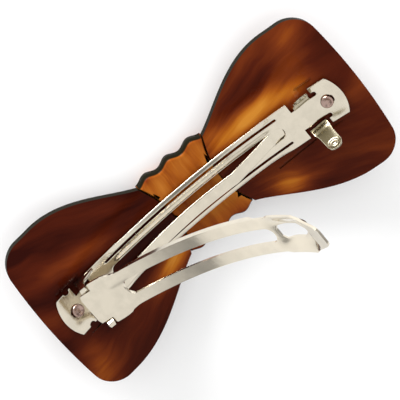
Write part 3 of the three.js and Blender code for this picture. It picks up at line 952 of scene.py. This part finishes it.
def spring_line(x):
    """The leaf's underside: a bow, a straight ramp from the kink, and a tail under the plate."""
    tail = base_underside(SPRING_DIVE) - SPRING_TUCK
    if x > SPRING_DIVE:
        return base_underside(x) - SPRING_TUCK
    if x > SPRING_KINK:
        return mix(spring_bow(SPRING_KINK), tail, (x - SPRING_KINK) / (SPRING_DIVE - SPRING_KINK))
    return spring_bow(x)


def spring_point(s, t, w):
    x = mix(SPRING_FREE, SPRING_ROOT, s)
    tip = min(x - SPRING_FREE, SPRING_HALF_WIDTH)
    half = SPRING_HALF_WIDTH * math.sqrt(max(0.16, 1 - (1 - tip / SPRING_HALF_WIDTH) ** 2))
    middle = SPRING_OFFSET * (1 - smooth((x - 12) / 10))
    return x + CLIP_SHIFT, middle + (2 * t - 1) * half, spring_line(x) + w * SPRING_THICKNESS


spring = sheet("tension_spring.leaf", 120, 8, spring_point)
soften(spring, 0.05, segments=1, angle=45)
dress(spring, NICKEL_MATERIAL, "spring", "nickel_plate", "tension_spring")

# %% [markdown]
# ## The catch prongs
#
# Each prong rises beside the plate's neck, rolls outward and ends in a round finger tab with a
# pressed dimple. It is made as a sheet along its bent profile, wide at the root and narrowed to a
# half circle at the tip.

# %% Catch prongs
PRONG_WIDTH = 3.7
PRONG_ROOT_WIDTH = 4.4
PRONG_Y = 3.2
PRONG_X = 31.3
PRONG_THICKNESS = 0.45
# The bent profile's points: distance outward, height above the root.
PRONG_PROFILE = [
    (0.1, 0.2), (-0.1, 1.4), (0, 2.4), (0.35, 3.1), (0.8, 3.7), (2.9, 7.6), (3.75, 9.55),
]
DIMPLE_FROM_TIP = 1.75


def along_profile(distance):
    """The point and direction at a distance along the prong's bent profile."""
    for (y0, z0), (y1, z1) in zip(PRONG_PROFILE, PRONG_PROFILE[1:]):
        length = math.hypot(y1 - y0, z1 - z0)
        if distance <= length or (y1, z1) == PRONG_PROFILE[-1]:
            k = distance / length
            return mix(y0, y1, k), mix(z0, z1, k), (y1 - y0) / length, (z1 - z0) / length
        distance -= length


def prong_half_width(done, left):
    root = mix(PRONG_ROOT_WIDTH / 2, PRONG_WIDTH / 2, smooth((done - 3) / 2.4))
    tip = PRONG_WIDTH / 2
    short = max(0, tip - left)
    return min(root, math.sqrt(max(0.04, tip * tip - short * short)) + (root - tip))


def dimple(x, left):
    """A pressed oval with a raised middle, like a button."""
    reach = math.hypot(x / 1.15, (left - DIMPLE_FROM_TIP) / 0.95)
    return 0.3 * math.exp(-(((reach - 0.8) / 0.32) ** 2))


def prong(name, side):
    total = sum(math.dist(a, b) for a, b in zip(PRONG_PROFILE, PRONG_PROFILE[1:]))
    root = base_underside(PRONG_X)

    def place(s, t, w):
        done = total * s
        y, z, dy, dz = along_profile(done)
        x = (2 * t - 1) * prong_half_width(done, total - done)
        push = w * PRONG_THICKNESS + dimple(x, total - done)
        return PRONG_X + CLIP_SHIFT + x, side * (PRONG_Y + y + push * dz), root + z - push * dy

    piece = sheet(name, 64, 24, place)
    return soften(piece, 0.08, segments=2, angle=50)


for side, word in ((1, "left"), (-1, "right")):
    tab = prong("catch_prong_" + word + ".tab", side)
    dress(tab, PRONG_MATERIAL, "prong_" + word, "nickel_plate", "catch_prong_" + word)

# %% [markdown]
# ## The rivets
#
# A tubular rivet is set from the back, so its head has a rolled rim and a dished middle.

# %% Rivets
# The rivet's section from the middle of its head to the foot of its shank: radius, height.
RIVET_PROFILE = [
    (0, 0.62), (0.35, 0.6), (0.7, 0.68), (0.95, 0.86), (1.15, 0.98), (1.32, 0.96),
    (1.45, 0.82), (1.48, 0.66), (1.4, 0.6), (0.92, 0.6), (0.92, -1.1), (0, -1.1),
]
RIVET_LIFT = 2 * GAP


def turned(name, profile, steps=40):
    """A shape turned on a lathe; its profile starts and ends on the axis."""
    bm = bmesh.new()
    turns = [2 * math.pi * i / steps for i in range(steps)]
    rings = []
    for r, z in profile:
        spots = [(r * math.cos(a), r * math.sin(a), z) for a in turns] if r else [(0, 0, z)]
        rings.append([bm.verts.new(spot) for spot in spots])
    for a, b in zip(rings, rings[1:]):
        for i in range(steps):
            k = (i + 1) % steps
            corners = [a[i % len(a)], a[k % len(a)], b[k % len(b)], b[i % len(b)]]
            bm.faces.new(list(dict.fromkeys(corners)))
    return finished(name, bm)


def rivet(name, side):
    piece = turned(name, [(r, z + RIVET_LIFT) for r, z in RIVET_PROFILE])
    slope = math.asin(RIVET_X / BASE_RADIUS)
    spot = Vector((side * RIVET_X + CLIP_SHIFT, 0, base_underside(RIVET_X) - GAP))
    tilt = Matrix.Rotation(-side * slope, 4, "Y")
    piece.data.transform(Matrix.Translation(spot * MM) @ tilt @ Matrix.Scale(MM, 4))
    piece.data.shade_smooth()
    piece.data.set_sharp_from_angle(angle=math.radians(50))
    return piece


for side, word in ((-1, "hinge"), (1, "latch")):
    head = rivet(word + "_end_rivet.head", side)
    dress(head, RIVET_MATERIAL, "bow", "rivet_steel", word + "_end_rivet")

# %% [markdown]
# ## The studio
#
# Metal and polished plastic show their surroundings, so the light matters as much as the
# materials. A large soft light from the upper left makes the shadow, a pale sky fills the rest,
# and the floor is a plain near-white sheet.

# %% Floor and lights
FLOOR_HALF = 1.2
FLOOR_SHADE = (0.97, 0.97, 0.97, 1)


def floor():
    mesh = bpy.data.meshes.new("floor")
    half = FLOOR_HALF
    corners = [(-half, -half, 0), (half, -half, 0), (half, half, 0), (-half, half, 0)]
    mesh.from_pydata(corners, [], [(0, 1, 2, 3)])
    piece = new_object("floor", mesh)
    f = Finish("floor", {"Base Color": FLOOR_SHADE, "Roughness": 0.9})
    mesh.materials.append(f.material)


def area_light(name, direction, distance, size, power):
    light = bpy.data.lights.new(name, "AREA")
    light.shape = "DISK"
    light.size = size
    light.energy = power
    lamp = bpy.data.objects.new(name, light)
    bpy.context.scene.collection.objects.link(lamp)
    where = direction.normalized() * distance
    aim = direction.to_track_quat("Z", "Y").to_matrix().to_4x4()
    lamp.matrix_world = Matrix.Translation(where) @ aim


def sky():
    """A pale room: brightest overhead, grey at the horizon, darker where the camera stands."""
    world = bpy.data.worlds.new("sky")
    bpy.context.scene.world = world
    world.use_nodes = True
    nodes = Nodes(world.node_tree)
    direction = nodes.node("ShaderNodeTexCoord")[0]
    height = nodes.node("ShaderNodeSeparateXYZ", None, {0: direction})[2]
    to_camera = {0: direction, 1: toward}
    nearness = nodes.node("ShaderNodeVectorMath", {"operation": "DOT_PRODUCT"}, to_camera)[1]
    room = 0.38 + height.smooth_from(0.0, 0.55) * 0.66
    shade = room * (1.0 - nearness.smooth_from(0.955, 0.99) * 0.75)
    background = nodes.tree.nodes["Background"]
    background.inputs["Color"].default_value = (1, 1, 1, 1)
    nodes.tree.links.new(shade.socket, background.inputs["Strength"])


floor()
upper_left = toward * 0.75 + up * 0.9 - right * 0.75
area_light("key", upper_left, 0.7, 0.5, 9.0)
sky()
bpy.context.scene.view_settings.view_transform = "Standard"
